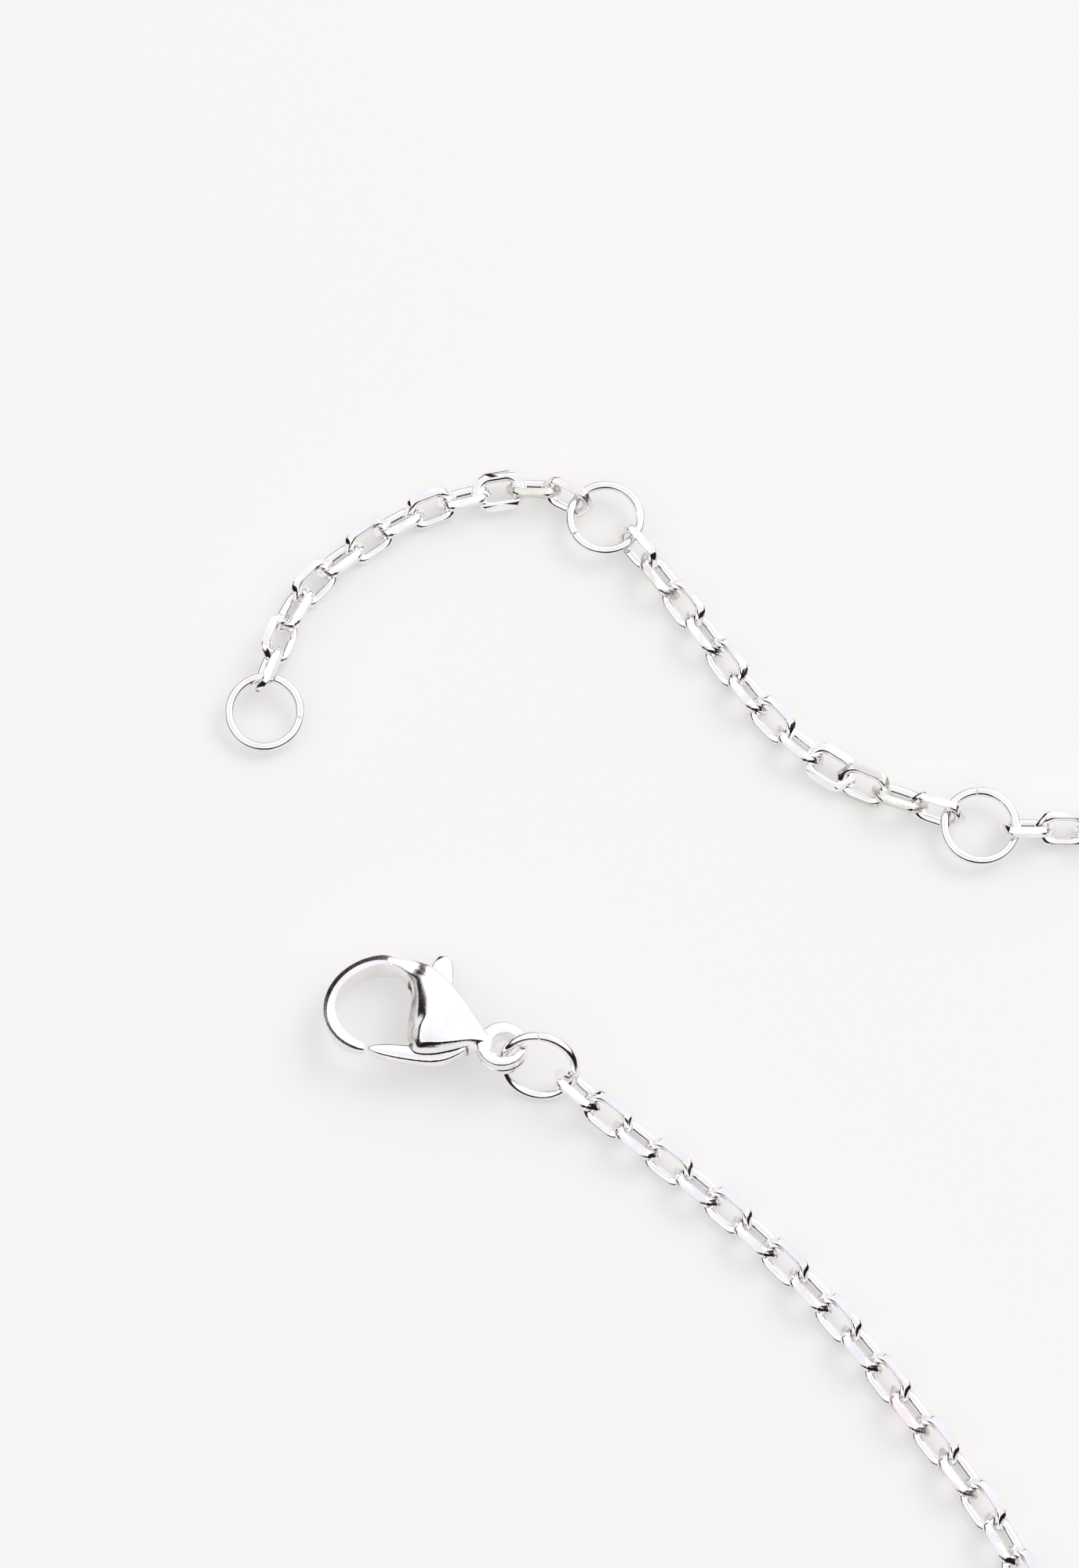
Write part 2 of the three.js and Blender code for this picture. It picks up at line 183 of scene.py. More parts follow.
def clasp_turn():
    heading = Matrix.Rotation(math.radians(CLASP_HEADING), 4, "Z")
    dip = Matrix.Rotation(math.radians(CLASP_DIP), 4, "Y")
    roll = Matrix.Rotation(math.radians(CLASP_ROLL), 4, "X")
    return heading @ dip @ roll


def pin_middle():
    """The middle of the clasp's pin in the model, in millimetres."""
    low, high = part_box("clasp_pin")
    return (low + high) / 2 / MM


def pin_reach():
    """From the clasp's middle to its pin."""
    return clasp_turn() @ Vector((PIN["x"], PIN["y"], 0))


def photo_shift():
    """From the photo's frame to the model's, over the ground, found from where the pin is."""
    shift = pin_middle() - (Vector((*CLASP_MIDDLE, 0)) + pin_reach())
    shift.z = 0
    return shift


SHIFT = photo_shift()


def place(point):
    return (Vector(point) + SHIFT) * MM


def make_camera():
    elevation = math.radians(CAMERA_ELEVATION)
    back = Vector((0, -math.cos(elevation), math.sin(elevation)))
    data = bpy.data.cameras.new("camera")
    data.lens = LENS
    data.sensor_width = SENSOR
    data.clip_start = CLIP_START
    data.clip_end = CLIP_END
    camera = bpy.data.objects.new("camera", data)
    camera.location = place(back * CAMERA_DISTANCE)
    camera.rotation_euler = (math.pi / 2 - elevation, 0, 0)
    bpy.context.scene.collection.objects.link(camera)
    bpy.context.scene.camera = camera


make_camera()


# Mesh helpers

# The faces of a curved part of an outline and of a round bar, and the least angle between
# faces that a bevel rounds.
CURVE_STEPS = 8
ROUND_STEPS = 64
BEVEL_ANGLE = 50


def lofted(rings, closed=False):
    """Quads between rings of points. If the rings don't close, each end gets a face."""
    bm = bmesh.new()
    rows = [[bm.verts.new(point) for point in ring] for ring in rings]
    count = len(rows[0])
    spans = len(rows) if closed else len(rows) - 1
    for i in range(spans):
        here = rows[i]
        there = rows[(i + 1) % len(rows)]
        for j in range(count):
            k = (j + 1) % count
            bm.faces.new((here[j], here[k], there[k], there[j]))
    if not closed:
        bm.faces.new(list(reversed(rows[0])))
        bm.faces.new(rows[-1])
    bmesh.ops.recalc_face_normals(bm, faces=bm.faces)
    return bm


def mesh_object(name, bm, materials=()):
    """The bmesh as an object of the scene."""
    mesh = bpy.data.meshes.new(name)
    bm.to_mesh(mesh)
    bm.free()
    for material in materials:
        mesh.materials.append(material)
    made = bpy.data.objects.new(name, mesh)
    bpy.context.scene.collection.objects.link(made)
    return made


def add_piece(name, bm, materials, node, slot, body="necklace", sharp=32):
    """The finished mesh as one object, which stands for a node of the frame."""
    piece = mesh_object(name, bm, materials)
    for face in piece.data.polygons:
        face.use_smooth = True
    piece.data.set_sharp_from_angle(angle=math.radians(sharp))
    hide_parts(node)
    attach(piece, body)


def applied(made):
    """The object's mesh with its modifiers applied, as a bmesh. The object is removed."""
    graph = bpy.context.evaluated_depsgraph_get()
    bm = bmesh.new()
    bm.from_object(made, graph)
    bpy.data.objects.remove(made)
    return bm


def combined(base, other, operation):
    """Joins one closed bmesh to another, or cuts it away."""
    first = mesh_object("working", base)
    second = mesh_object("working", other)
    modifier = first.modifiers.new("combined", "BOOLEAN")
    modifier.operation = operation
    modifier.solver = "EXACT"
    modifier.object = second
    made = applied(first)
    bpy.data.objects.remove(second)
    return made


def bevelled(bm, width, segments):
    """The closed bmesh with its sharp edges rounded."""
    rounded = mesh_object("working", bm)
    bevel = rounded.modifiers.new("bevel", "BEVEL")
    bevel.width = width
    bevel.segments = segments
    bevel.limit_method = "ANGLE"
    bevel.angle_limit = math.radians(BEVEL_ANGLE)
    bevel.use_clamp_overlap = False
    return applied(rounded)


def cut_flat(bm, direction, depth, finish=0):
    """Cuts a flat across one side, in the material of that number."""
    result = bmesh.ops.bisect_plane(
        bm,
        geom=[*bm.verts, *bm.edges, *bm.faces],
        dist=CUT_TOLERANCE,
        plane_co=direction * depth,
        plane_no=direction,
        clear_outer=True,
    )
    edges = [item for item in result["geom_cut"] if isinstance(item, bmesh.types.BMEdge)]
    filled = bmesh.ops.holes_fill(bm, edges=edges, sides=0)
    for face in filled["faces"]:
        face.material_index = finish


def quadratic(start, control, end):
    """A curve's points, without its start."""
    points = []
    for i in range(1, CURVE_STEPS + 1):
        t = i / CURVE_STEPS
        a = (1 - t) ** 2
        b = 2 * t * (1 - t)
        c = t * t
        x = a * start[0] + b * control[0] + c * end[0]
        y = a * start[1] + b * control[1] + c * end[1]
        points.append((x, y))
    return points


def outline_of(start, parts):
    """An outline from a start point and parts: one point for a line, two for a curve."""
    points = [start]
    for part in parts:
        if len(part) == 1:
            points.append(part[0])
        else:
            points.extend(quadratic(points[-1], *part))
    return points


def plate(outline, half):
    return lofted([[(x, y, z) for x, y in outline] for z in (-half, half)])


def round_bar(spot, radius, half):
    outline = []
    for i in range(ROUND_STEPS):
        turn = i / ROUND_STEPS * math.tau
        outline.append((spot["x"] + radius * math.cos(turn), spot["y"] + radius * math.sin(turn)))
    return plate(outline, half)


def between(before, here, there, after, t):
    """A point of a smooth curve past four places, from the second to the third."""
    square = (2 * before - 5 * here + 4 * there - after) * t**2
    cube = (3 * here - before - 3 * there + after) * t**3
    return here + ((there - before) * t + square + cube) / 2


def smooth_rows(table, steps):
    """Rows of numbers on smooth curves through the columns of a table."""
    rows = np.array([np.hstack(list(row.values())) for row in table], dtype=float)
    ends = np.vstack([2 * rows[0] - rows[1], rows, 2 * rows[-1] - rows[-2]])
    made = []
    for i in range(len(rows) - 1):
        made.extend(between(*ends[i : i + 4], j / steps) for j in range(steps))
    return [*made, rows[-1]]


def squared_circle(turn, power):
    """A point of a circle drawn out towards its corners."""
    c = math.cos(turn)
    s = math.sin(turn)
    return math.copysign(abs(c) ** power, c), math.copysign(abs(s) ** power, s)


# Chains


def smooth_route(points, links):
    """Equal steps along a centripetal curve through the points, as in the part's source."""
    places = [Vector(point) for point in points]
    ends = [2 * places[0] - places[1], *places, 2 * places[-1] - places[-2]]
    samples = links * ROUTE_SAMPLES_PER_LINK
    line = []
    for i in range(samples + 1):
        t = i / samples * (len(places) - 1)
        k = min(int(t), len(places) - 2)
        t -= k
        p0, p1, p2, p3 = ends[k : k + 4]
        d0, d1, d2 = (math.sqrt((b - a).length) for a, b in ((p0, p1), (p1, p2), (p2, p3)))
        m1 = ((p1 - p0) / d0 - (p2 - p0) / (d0 + d1) + (p2 - p1) / d1) * d1
        m2 = ((p2 - p1) / d1 - (p3 - p1) / (d1 + d2) + (p3 - p2) / d2) * d1
        a = 2 * t**3 - 3 * t**2 + 1
        b = t**3 - 2 * t**2 + t
        line.append(a * p1 + b * m1 + (1 - a) * p2 + (t**3 - t**2) * m2)
    line = np.array(line)
    lengths = np.concatenate([[0], np.cumsum(np.linalg.norm(np.diff(line, axis=0), axis=1))])
    wanted = np.linspace(0, lengths[-1], links + 1)
    return [Vector([np.interp(w, lengths, line[:, axis]) for axis in range(3)]) for w in wanted]


def ring_axes(ring):
    """The level line of a ring and the line that lifts, both in the ring's plane."""
    axis = math.radians(ring["axis"])
    lift = math.radians(ring["lift"])
    along = Vector((math.cos(axis), math.sin(axis), 0))
    back = Vector((-math.sin(axis), math.cos(axis), 0)) * math.cos(lift) + UP * math.sin(lift)
    return along, back


def ring_point(ring, angle, radius):
    along, back = ring_axes(ring)
    turn = math.radians(angle)
    middle = Vector((ring["x"], ring["y"], ring["z"]))
    return middle + along * (radius * math.cos(turn)) + back * (radius * math.sin(turn))


def hook_point(name):
    ring, angle = HOOKS[name]
    return ring_point(RINGS[ring], angle, HOOK_RADIUS)


def joints_along(first, places, last, links):
    """The joints of a chain from one ring, past the places, to another."""
    start = hook_point(first)
    end = hook_point(last)
    plan = [start.xy, *places, end.xy]
    joints = smooth_route([(x, y, CHAIN_MIDDLE) for x, y in plan], links)
    for i, share in enumerate(HOOK_LIFTS):
        joints[i].z += share * (start.z - CHAIN_MIDDLE)
        joints[links - i].z += share * (end.z - CHAIN_MIDDLE)
    return joints


def link_outline(pitch, detail):
    """The middle line of a link's wire with its outward direction, once round."""
    reach = (pitch - LINK_GRIP) / 2 + WIRE - BAR_STRAIGHT
    points = []
    for side in (1, -1):
        for i in range(detail["end"] + 1):
            angle = (i / detail["end"] - side / 2) * math.pi
            x = side * BAR_STRAIGHT + reach * math.cos(angle)
            y = BAR_HALF_SPACING * math.sin(angle)
            out = Vector((BAR_HALF_SPACING * math.cos(angle), reach * math.sin(angle), 0))
            points.append((Vector((x, y, 0)), out.normalized()))
        last, out = points[-1]
        for i in range(1, detail["bar"]):
            share = i / detail["bar"]
            shift = Vector((-2 * side * BAR_STRAIGHT * share, 0, 0))
            points.append((last + shift, out))
    return points


def link_mesh(pitch, detail):
    """One diamond-cut link round the origin, long way along X."""
    rings = []
    for middle, out in link_outline(pitch, detail):
        ring = []
        for j in range(detail["round"]):
            turn = (j + 0.5) / detail["round"] * math.tau
            ring.append(middle + out * (WIRE * math.cos(turn)) + UP * (WIRE * math.sin(turn)))
        rings.append(ring)
    bm = lofted(rings, closed=True)
    for y in (-1, 1):
        for z in (-1, 1):
            cut_flat(bm, Vector((0, y, z)).normalized(), BAR_CUT_DEPTH, FLATS)
            for x in (-1, 1):
                way = Vector((x * END_CUT["along"], y * END_CUT["side"], z * END_CUT["side"]))
                cut_flat(bm, way.normalized(), END_CUT["depth"], FLATS)
    mesh = bpy.data.meshes.new("link")
    bm.to_mesh(mesh)
    bm.free()
    return mesh


def link_place(start, end, lean):
    """From the link's own frame to its place between two joints."""
    along = (end - start).normalized()
    across = UP.cross(along).normalized()
    over = along.cross(across)
    wide = across * math.cos(math.radians(lean)) + over * math.sin(math.radians(lean))
    face = along.cross(wide)
    turn = Matrix((along, wide, face)).transposed().to_4x4()
    return Matrix.Scale(MM, 4) @ Matrix.Translation((start + end) / 2 + SHIFT) @ turn


def chain(name, node, joints, leans, detail, materials):
    """One span of chain as one piece: a link for each lean, between two joints."""
    link = link_mesh((joints[1] - joints[0]).length, detail)
    off_tones = OFF_TONE_LINKS.get(name, {})
    bm = bmesh.new()
    for i, lean in enumerate(leans):
        corners = len(bm.verts)
        sides = len(bm.faces)
        bm.from_mesh(link)
        bm.verts.ensure_lookup_table()
        bm.faces.ensure_lookup_table()
        spot = link_place(joints[i], joints[i + 1], lean)
        bmesh.ops.transform(bm, matrix=spot, verts=bm.verts[corners:])
        for face in bm.faces[sides:]:
            # Some links' flats take another material: a painted pink reflection of skin, or a
            # darker grey.
            if face.material_index == FLATS:
                face.material_index = off_tones.get(i, FLATS)
    add_piece(name, bm, materials, node, "chain_silver")


def main_leans():
    leans = [MAIN_LEANS["even"] if i % 2 else MAIN_LEANS["odd"] for i in range(MAIN_LINKS)]
    leans[0] = MAIN_LEANS["first"]
    leans[-1] = MAIN_LEANS["last"]
    return leans


def chains(materials):
    """The two chains of the extender, and the main chain in three spans."""
    outer = joints_along("outer_at_end", OUTER_ROUTE, "outer_at_middle", EXTENDER_LINKS)
    inner = joints_along("inner_at_middle", INNER_ROUTE, "inner_at_far", EXTENDER_LINKS)
    main = joints_along("main_at_clasp", MAIN_ROUTE, "main_at_far", MAIN_LINKS)
    leans = main_leans()
    near = MAIN_LINKS_BY_CLASP
    far = MAIN_LINKS - MAIN_LINKS_BY_FAR_RING
    spans = [
        ("extender_outer_links", "extender_chain_outer", outer, OUTER_LEANS, NEAR_LINK),
        ("extender_inner_links", "extender_chain_inner", inner, INNER_LEANS, NEAR_LINK),
        ("clasp_side_links", "main_chain_clasp_side", main[: near + 1], leans[:near], NEAR_LINK),
        ("hidden_links", "main_chain_hidden", main[near : far + 1], leans[near:far], FAR_LINK),
        ("far_side_links", "main_chain_far_side", main[far:], leans[far:], NEAR_LINK),
    ]
    for span in spans:
        chain(*span, materials)


# Jump rings


def jump_ring(name, ring, material):
    """A round wire bent to a ring, from one cut end round to the other."""
    half_seam = RING_SEAM / 2 / RING_RADIUS
    start = math.radians(ring["seam"]) + half_seam
    sweep = math.tau - 2 * half_seam
    along, back = ring_axes(ring)
    face = along.cross(back)
    spots = [(0, 1 - RING_CHAMFER / RING_WIRE), (RING_CHAMFER / RING_RADIUS / sweep, 1)]
    spots += [(i / RING_STEPS, 1) for i in range(1, RING_STEPS)]
    spots += [(1 - share, size) for share, size in reversed(spots[:2])]
    sections = []
    for share, size in spots:
        angle = math.degrees(start + sweep * share)
        section = []
        for j in range(RING_SIDES):
            turn = j / RING_SIDES * math.tau
            reach = RING_RADIUS + size * RING_WIRE * math.cos(turn)
            point = ring_point(ring, angle, reach) + face * (size * RING_WIRE * math.sin(turn))
            section.append(place(point))
        sections.append(section)
    bm = lofted(sections)
    add_piece(f"ring_wire_{name}", bm, [material], f"jump_ring_{name}", "ring_silver")


# Clasp

# The cast shell's sections, from the neck by the hook to the eye. Each runs from the left rim
# over the top to the right rim. A rim has its place and the width of its slope, and the top
# has its place and height.
SHELL_STEPS = 6
SHELL_SECTIONS = [
    {"left": (-0.1, 2.42, 0.15), "top": (-0.1, 2.78, 0.84), "right": (-0.1, 3.15, 0.28)},
    {"left": (0.6, 2.4, 0.15), "top": (0.6, 2.86, 0.84), "right": (0.6, 3.32, 0.3)},
    {"left": (1.2, 2.1, 0.3), "top": (1.5, 2.78, 0.88), "right": (1.3, 3.45, 0.35)},
    {"left": (1.75, 1.3, 0.85), "top": (2.45, 2.15, 1.3), "right": (2.3, 3.3, 0.42)},
    {"left": (2.0, 0.5, 1.15), "top": (3.3, 1.1, 1.43), "right": (3.3, 2.83, 0.42)},
    {"left": (2.2, -0.4, 1.2), "top": (3.7, 0.4, 1.45), "right": (4.1, 2.36, 0.4)},
    {"left": (2.5, -1.45, 0.95), "top": (4.0, 0.0, 1.45), "right": (4.7, 1.96, 0.38)},
    {"left": (3.15, -2.1, 0.6), "top": (4.4, -0.05, 1.42), "right": (5.2, 1.57, 0.36)},
    {"left": (4.05, -1.95, 0.5), "top": (4.8, -0.05, 1.36), "right": (5.6, 1.2, 0.34)},
    {"left": (5.0, -1.45, 0.42), "top": (5.4, 0.0, 1.2), "right": (6.0, 0.88, 0.32)},
    {"left": (5.9, -0.85, 0.32), "top": (6.05, 0.03, 0.95), "right": (6.4, 0.58, 0.25)},
    {"left": (6.72, -0.45, 0.25), "top": (6.72, 0.0, 0.6), "right": (6.72, 0.38, 0.25)},
]

# The rim's height as a share of the top's, how far the crown falls from the top to the rim,
# and the shares of the crown's width that have a point.
RIM_SHARE = 0.42
CROWN_DROP = 0.06
CROWN_SHARES = [0.25, 0.5, 0.75]

# The slope at the rim, as shares of its width and of its rise.
SLOPE_STEPS = 3
SLOPE = [
    {"in": 0.0, "up": 0.0},
    {"in": 0.2, "up": 0.27},
    {"in": 0.4, "up": 0.52},
    {"in": 0.6, "up": 0.7},
    {"in": 0.8, "up": 0.86},
    {"in": 1.0, "up": 0.97},
    {"in": 1.2, "up": 1.0},
]

# The slot that the lever turns in, open to both sides of the shell.
SLOT_REACH = 5
SLOT_START = (1.9, SLOT_REACH)
SLOT_PARTS = [
    [(1.9, 2.55)],
    [(1.0, 1.5)],
    [(1.0, -SLOT_REACH)],
    [(5.9, -SLOT_REACH)],
    [(5.9, -0.5)],
    [(5.7, 0.6)],
    [(5.7, SLOT_REACH)],
]

# The lever's arm and thumb tab, as a start point and parts: one point for a line and two for
# a curve.
LEVER_START = (3.6, -1.6)
LEVER_PARTS = [
    [(4.9, -1.9)],
    [(5.95, -0.9), (5.2, 0.1)],
    [(4.1, 2.0)],
    [(3.62, 3.3)],
    [(3.35, 4.3), (2.8, 4.3)],
    [(2.15, 4.2), (2.17, 3.3)],
    [(3.2, 0.6)],
]
LEVER_BEVEL = {"width": 0.3, "segments": 6}
LEVER_BORE_HALF = 1
RIVET_BEVEL = {"width": 0.08, "segments": 3}

# The flat on top of the tab: the way it faces and how far out from the clasp's middle it lies.
TAB_FACET = {"way": (-0.287, 0.241, 0.927), "depth": 0.62}

# The lever's gate, from its tip to the pivot: its middle and half its width and height.
GATE_STEPS = 6
GATE_SIDES = 40
GATE_POWER = 0.7
GATE_SECTIONS = [
    {"x": 0.6, "y": -2.5, "width": 0.06, "height": 0.22},
    {"x": 0.68, "y": -2.49, "width": 0.16, "height": 0.34},
    {"x": 0.95, "y": -2.45, "width": 0.28, "height": 0.42},
    {"x": 1.6, "y": -2.32, "width": 0.43, "height": 0.47},
    {"x": 2.4, "y": -2.17, "width": 0.5, "height": 0.47},
    {"x": 3.3, "y": -1.98, "width": 0.55, "height": 0.47},
    {"x": 4.2, "y": -1.72, "width": 0.6, "height": 0.47},
    {"x": 4.95, "y": -1.38, "width": 0.56, "height": 0.47},
    {"x": 5.45, "y": -1.05, "width": 0.44, "height": 0.47},
    {"x": 5.72, "y": -0.88, "width": 0.26, "height": 0.4},
    {"x": 5.8, "y": -0.84, "width": 0.12, "height": 0.25},
]

# The hook's bar, from the shell round to its tip: the angle and radius of its middle, half
# its width and height, and the width and tilt of the bevel along its outer edge. The inner
# edge is a little lower than the ridge beside the bevel.
HOOK_STEPS = 8
INNER_EDGE_SHARE = 0.94
HOOK_SECTIONS = [
    {"angle": 84, "radius": 2.76, "width": 0.28, "height": 0.82, "bevel": 0.4, "tilt": 23},
    {"angle": 96, "radius": 2.76, "width": 0.31, "height": 0.82, "bevel": 0.4, "tilt": 22.5},
    {"angle": 118, "radius": 2.5, "width": 0.32, "height": 0.8, "bevel": 0.32, "tilt": 22},
    {"angle": 140, "radius": 2.36, "width": 0.31, "height": 0.77, "bevel": 0.3, "tilt": 23.5},
    {"angle": 162, "radius": 2.33, "width": 0.3, "height": 0.74, "bevel": 0.3, "tilt": 27},
    {"angle": 184, "radius": 2.36, "width": 0.3, "height": 0.7, "bevel": 0.27, "tilt": 31},
    {"angle": 206, "radius": 2.42, "width": 0.32, "height": 0.66, "bevel": 0.2, "tilt": 39.5},
    {"angle": 228, "radius": 2.48, "width": 0.33, "height": 0.62, "bevel": 0.13, "tilt": 48.5},
    {"angle": 250, "radius": 2.55, "width": 0.3, "height": 0.56, "bevel": 0.1, "tilt": 56},
    {"angle": 270, "radius": 2.6, "width": 0.24, "height": 0.46, "bevel": 0.08, "tilt": 60},
    {"angle": 279, "radius": 2.62, "width": 0.14, "height": 0.34, "bevel": 0.06, "tilt": 61},
]

# Half of the eye's section, as outward and upward shares: a groove round the outside, a
# shoulder rounded about a centre, and the edge of the hole.
EYE_STEPS = 96
EYE_GROOVE = [(0.8, 0.0), (1.0, 0.12), (1.0, 0.3)]
EYE_SHOULDER = {"out": 0.35, "up": 0.4, "power": 0.85, "steps": 8}
EYE_HOLE_EDGE = [(-0.5, 1.0), (-0.85, 0.85), (-1.0, 0.6)]


def clasp_piece(name, bm, material, node, slot, **more):
    """Moves a mesh from the clasp's own frame to its place, and adds it."""
    middle = pin_middle() - pin_reach()
    spot = Matrix.Scale(MM, 4) @ Matrix.Translation(middle) @ clasp_turn()
    bmesh.ops.transform(bm, matrix=spot, verts=bm.verts)
    add_piece(name, bm, [material], node, slot, **more)


def half_section(rim, top, slope):
    """Points from a place on the rim up the slope and over to the top's line."""
    reach = (top - rim).xy.length
    heights = [(inward * slope / reach, up) for inward, up in smooth_rows(SLOPE, SLOPE_STEPS)]
    edge = heights[-1][0]
    heights.extend((edge + (1 - edge) * share, 1) for share in CROWN_SHARES)
    points = []
    for share, up in heights:
        spot = rim.lerp(top, share)
        spot.z = rim.z + (top.z - rim.z) * up - CROWN_DROP * (1 - share) ** 2
        points.append(spot)
    return points


def shell():
    """The cast shell: a dome over and under, lofted from the neck to the eye."""
    rings = []
    for row in smooth_rows(SHELL_SECTIONS, SHELL_STEPS):
        left, top, right = row.reshape(3, 3)
        halves = []
        for x, y, slope in (left, right):
            halves.append(half_section(Vector((x, y, top[2] * RIM_SHARE)), Vector(top), slope))
        upper = [*halves[0], Vector(top), *reversed(halves[1])]
        rings.append(upper + [Vector((x, y, -z)) for x, y, z in reversed(upper)])
    return lofted(rings)


def hook_corners(width, height, bevel, tilt):
    """The bar's section: a bevel falls to the outside, and a flatter face to the inside."""
    ridge = width - bevel
    drop = bevel * math.tan(math.radians(tilt))
    upper = [(width, height - drop), (ridge, height), (-width, INNER_EDGE_SHARE * height)]
    return upper + [(out, -up) for out, up in reversed(upper)]


def hook():
    rings = []
    for angle, radius, *section in smooth_rows(HOOK_SECTIONS, HOOK_STEPS):
        turn = math.radians(angle)
        ring = []
        for out, up in hook_corners(*section):
            reach = radius + out
            ring.append((reach * math.cos(turn), reach * math.sin(turn), up))
        rings.append(ring)
    return lofted(rings)


def eye_section():
    """The eye's whole section, as outward and upward shares."""
    upper = list(EYE_GROOVE)
    for i in range(EYE_SHOULDER["steps"]):
        turn = (i + 1) / EYE_SHOULDER["steps"] * math.pi / 2
        out, up = squared_circle(turn, EYE_SHOULDER["power"])
        shoulder_out = EYE_SHOULDER["out"] + (1 - EYE_SHOULDER["out"]) * out
        shoulder_up = EYE_SHOULDER["up"] + (1 - EYE_SHOULDER["up"]) * up
        upper.append((shoulder_out, shoulder_up))
    upper.extend(EYE_HOLE_EDGE)
    return upper + [(out, -up) for out, up in reversed(upper[1:])]


def eye():
    """The eye: its hole sits a little towards the jump ring."""
    section = eye_section()
    middle = Vector((EYE["x"], EYE["y"]))
    hole = Vector((EYE["x"] + EYE["hole_shift"], EYE["y"]))
    rings = []
    for i in range(EYE_STEPS):
        turn = i / EYE_STEPS * math.tau
        way = Vector((math.cos(turn), math.sin(turn)))
        inner = hole + way * EYE["hole"]
        outer = middle + way * EYE["outer"]
        ring = []
        for out, up in section:
            spot = inner.lerp(outer, (1 + out) / 2)
            ring.append((spot.x, spot.y, EYE["half"] * up))
        rings.append(ring)
    return lofted(rings, closed=True)


def clasp_body(material):
    """Shell, hook and eye in one, with the lever's slot and the pin's bore cut out."""
    body = combined(shell(), hook(), "UNION")
    body = combined(body, eye(), "UNION")
    slot = plate(outline_of(SLOT_START, SLOT_PARTS), SLOT_HALF)
    body = combined(body, slot, "DIFFERENCE")
    bore = round_bar(PIN, PIN["radius"] + PIN_GAP, PIN["half"] + PIN_GAP / 2)
    body = combined(body, bore, "DIFFERENCE")
    clasp_piece("clasp_body_cast", body, material, "clasp_body", "clasp_silver", sharp=25)


def gate():
    rings = []
    for x, y, width, height in smooth_rows(GATE_SECTIONS, GATE_STEPS):
        ring = []
        for i in range(GATE_SIDES):
            out, up = squared_circle(i / GATE_SIDES * math.tau, GATE_POWER)
            ring.append((x, y + width * out, height * up))
        rings.append(ring)
    return lofted(rings)


def clasp_lever(material):
    """Arm, thumb tab and gate in one, with the bore that turns on the pin."""
    arm = bevelled(plate(outline_of(LEVER_START, LEVER_PARTS), LEVER_HALF), **LEVER_BEVEL)
    lever = combined(arm, gate(), "UNION")
    bore = round_bar(PIN, PIN["radius"] + PIN_GAP, LEVER_BORE_HALF)
    lever = combined(lever, bore, "DIFFERENCE")
    cut_flat(lever, Vector(TAB_FACET["way"]).normalized(), TAB_FACET["depth"])
    more = {"body": "lever", "sharp": 20}
    clasp_piece("clasp_lever_cast", lever, material, "clasp_lever", "clasp_silver", **more)


def clasp_pin(material):
    rivet = bevelled(round_bar(PIN, PIN["radius"], PIN["half"]), **RIVET_BEVEL)
    clasp_piece("clasp_rivet", rivet, material, "clasp_pin", "pin_steel")


# Materials

# Each metal has a cloudy tone and gloss, and fine pits. The scales of the clouds and pits
# are per metre, and the pits' depth is in metres.
FINISHES = {
    "silver_wire": {"color": (0.94, 0.93, 0.93), "rough": 0.09, "grain": 6000, "dent": 0.15},
    "silver_flats": {"color": (0.95, 0.94, 0.95), "rough": 0.05, "grain": 9000, "dent": 0.1},
    # The pink flats' tone is a painted reflection of skin, not a colour of the silver.
    "silver_flats_painted_pink_reflection": {"color": (0.93, 0.85, 0.87), "rough": 0.2, "grain": 9000, "dent": 0.6},
    "silver_flats_grey": {"color": (0.78, 0.77, 0.73), "rough": 0.25, "grain": 9000, "dent": 0.9},
    "silver_cast": {"color": (0.95, 0.94, 0.94), "rough": 0.07, "grain": 11000, "dent": 0.35},
    "steel_rivet": {"color": (0.75, 0.75, 0.76), "rough": 0.2, "grain": 5000, "dent": 0.3},
}
CLOUD = {"scale": 900, "detail": 4, "dark_at": 0.35, "bright_at": 0.6, "dark_share": 0.93}
PIT_DETAIL = 5
PIT_DEPTH = 0.00002


class Nodes:
    """Short calls for building a node tree."""

    def __init__(self, owner):
        owner.use_nodes = True
        self.tree = owner.node_tree
        self.tree.nodes.clear()

    def add(self, kind, **settings):
        node = self.tree.nodes.new(kind)
        for key, value in settings.items():
            setattr(node, key, value)
        return node

    def link(self, source, target):
        self.tree.links.new(source, target)

    def math(self, operation, *values, clamp=False):
        node = self.add("ShaderNodeMath", operation=operation, use_clamp=clamp)
        for socket, value in zip(node.inputs, values):
            if isinstance(value, (int, float)):
                socket.default_value = value
            else:
                self.link(value, socket)
        return node.outputs[0]

    def squared(self, value):
        return self.math("MULTIPLY", value, value)

    def facing(self, x, y, level, way):
        """How far a direction points a given way over the ground, from 0 to 1."""
        share = self.math("MULTIPLY_ADD", x, way[0], self.math("MULTIPLY", y, way[1]))
        return self.math("MAXIMUM", self.math("DIVIDE", share, level), 0)

    def noise(self, place, scale, detail):
        node = self.add("ShaderNodeTexNoise")
        node.inputs["Scale"].default_value = scale
        node.inputs["Detail"].default_value = detail
        self.link(place, node.inputs["Vector"])
        return node.outputs[0]

    def ramp(self, factor, stops):
        """Tones along a ramp, from pairs of a place and a tone."""
        node = self.add("ShaderNodeValToRGB")
        elements = node.color_ramp.elements
        while len(elements) < len(stops):
            elements.new(0.5)
        for element, (position, color) in zip(elements, stops):
            element.position = position
            element.color = (*color, 1)
        self.link(factor, node.inputs[0])
        return node.outputs[0]


def new_material(name):
    """A material with its nodes and its shader."""
    material = bpy.data.materials.new(name)
    nodes = Nodes(material)
    output = nodes.add("ShaderNodeOutputMaterial")
    shader = nodes.add("ShaderNodeBsdfPrincipled")
    nodes.link(shader.outputs[0], output.inputs[0])
    return material, nodes, shader


